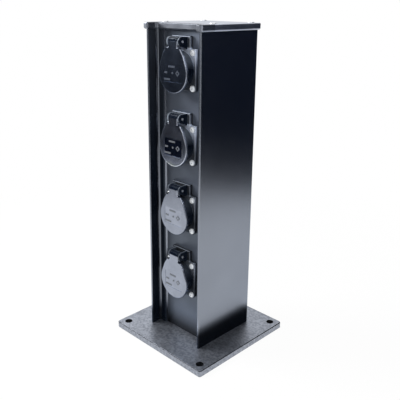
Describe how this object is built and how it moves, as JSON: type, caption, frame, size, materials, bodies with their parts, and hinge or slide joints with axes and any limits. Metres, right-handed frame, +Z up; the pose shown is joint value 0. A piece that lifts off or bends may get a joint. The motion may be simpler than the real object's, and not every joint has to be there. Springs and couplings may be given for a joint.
{
  "type": "garden socket post",
  "caption": "Free-standing black aluminium post on a square base plate, with hinged-lid earthed sockets in a vertical front recess.",
  "frame": {"origin": "centre of the base plate's bottom face", "axes": "+Z up along the column, sockets face -Y, +X to the right as the sockets are faced"},
  "size_m": [0.164, 0.164, 0.4172],
  "materials": {
    "anodised": "black anodised, satin gloss",
    "socket_black": "moulded, fine satin",
    "lid_black": "moulded, satin with a fine grain",
    "carrier_black": "moulded, matte",
    "rubber": "matte",
    "steel": "bright stainless",
    "brass": "machined",
    "block_ivory": "moulded",
    "wire_brown": "smooth insulation",
    "wire_blue": "smooth insulation",
    "wire_earth": "smooth insulation, green with a yellow stripe"
  },
  "bodies": {
    "post": {"base_plate": "anodised", "base_screws": "steel", "block_screws": "steel", "bonding_lead": "wire_earth", "bracket_screws": "steel", "cable_grommet": "rubber", "cap_screws": "steel", "column_shell": "anodised", "contacts_1": "brass", "contacts_2": "brass", "contacts_3": "brass", "contacts_4": "brass", "earth_clip_1": "brass", "earth_clip_2": "brass", "earth_clip_3": "brass", "earth_clip_4": "brass", "earth_nut": "brass", "earth_stud": "brass", "earth_wires": "wire_earth", "flange_gasket_1": "rubber", "flange_gasket_2": "rubber", "flange_gasket_3": "rubber", "flange_gasket_4": "rubber", "flange_nuts": "steel", "flange_screws": "steel", "hinge_pin_1": "steel", "hinge_pin_2": "steel", "hinge_pin_3": "steel", "hinge_pin_4": "steel", "lid_spring_1": "steel", "lid_spring_2": "steel", "lid_spring_3": "steel", "lid_spring_4": "steel", "live_wires": "wire_brown", "neutral_wires": "wire_blue", "socket_body_1": "socket_black", "socket_body_2": "socket_black", "socket_body_3": "socket_black", "socket_body_4": "socket_black", "socket_insert_1": "carrier_black", "socket_insert_2": "carrier_black", "socket_insert_3": "carrier_black", "socket_insert_4": "carrier_black", "socket_panel": "anodised", "terminal_block": "block_ivory", "terminal_bracket": "steel", "terminal_screws": "brass", "top_cap": "anodised"},
    "lid_1": {"lid_1": "lid_black", "lid_seal_1": "rubber"},
    "lid_2": {"lid_2": "lid_black", "lid_seal_2": "rubber"},
    "lid_3": {"lid_3": "lid_black", "lid_seal_3": "rubber"},
    "lid_4": {"lid_4": "lid_black", "lid_seal_4": "rubber"}
  },
  "joints": [
    {"name": "lid_1_hinge", "type": "hinge", "parent": "post", "child": "lid_1", "pos_m": [0, -0.044, 0.3955], "axis": [-1, 0, 0], "range_deg": [0, 105], "stiffness_Nm_per_rad": 0.01, "springref_deg": -57.3},
    {"name": "lid_2_hinge", "type": "hinge", "parent": "post", "child": "lid_2", "pos_m": [0, -0.044, 0.3055], "axis": [-1, 0, 0], "range_deg": [0, 105], "stiffness_Nm_per_rad": 0.01, "springref_deg": -57.3},
    {"name": "lid_3_hinge", "type": "hinge", "parent": "post", "child": "lid_3", "pos_m": [0, -0.044, 0.2155], "axis": [-1, 0, 0], "range_deg": [0, 105], "stiffness_Nm_per_rad": 0.01, "springref_deg": -57.3},
    {"name": "lid_4_hinge", "type": "hinge", "parent": "post", "child": "lid_4", "pos_m": [0, -0.044, 0.1255], "axis": [-1, 0, 0], "range_deg": [0, 105], "stiffness_Nm_per_rad": 0.01, "springref_deg": -57.3}
  ]
}
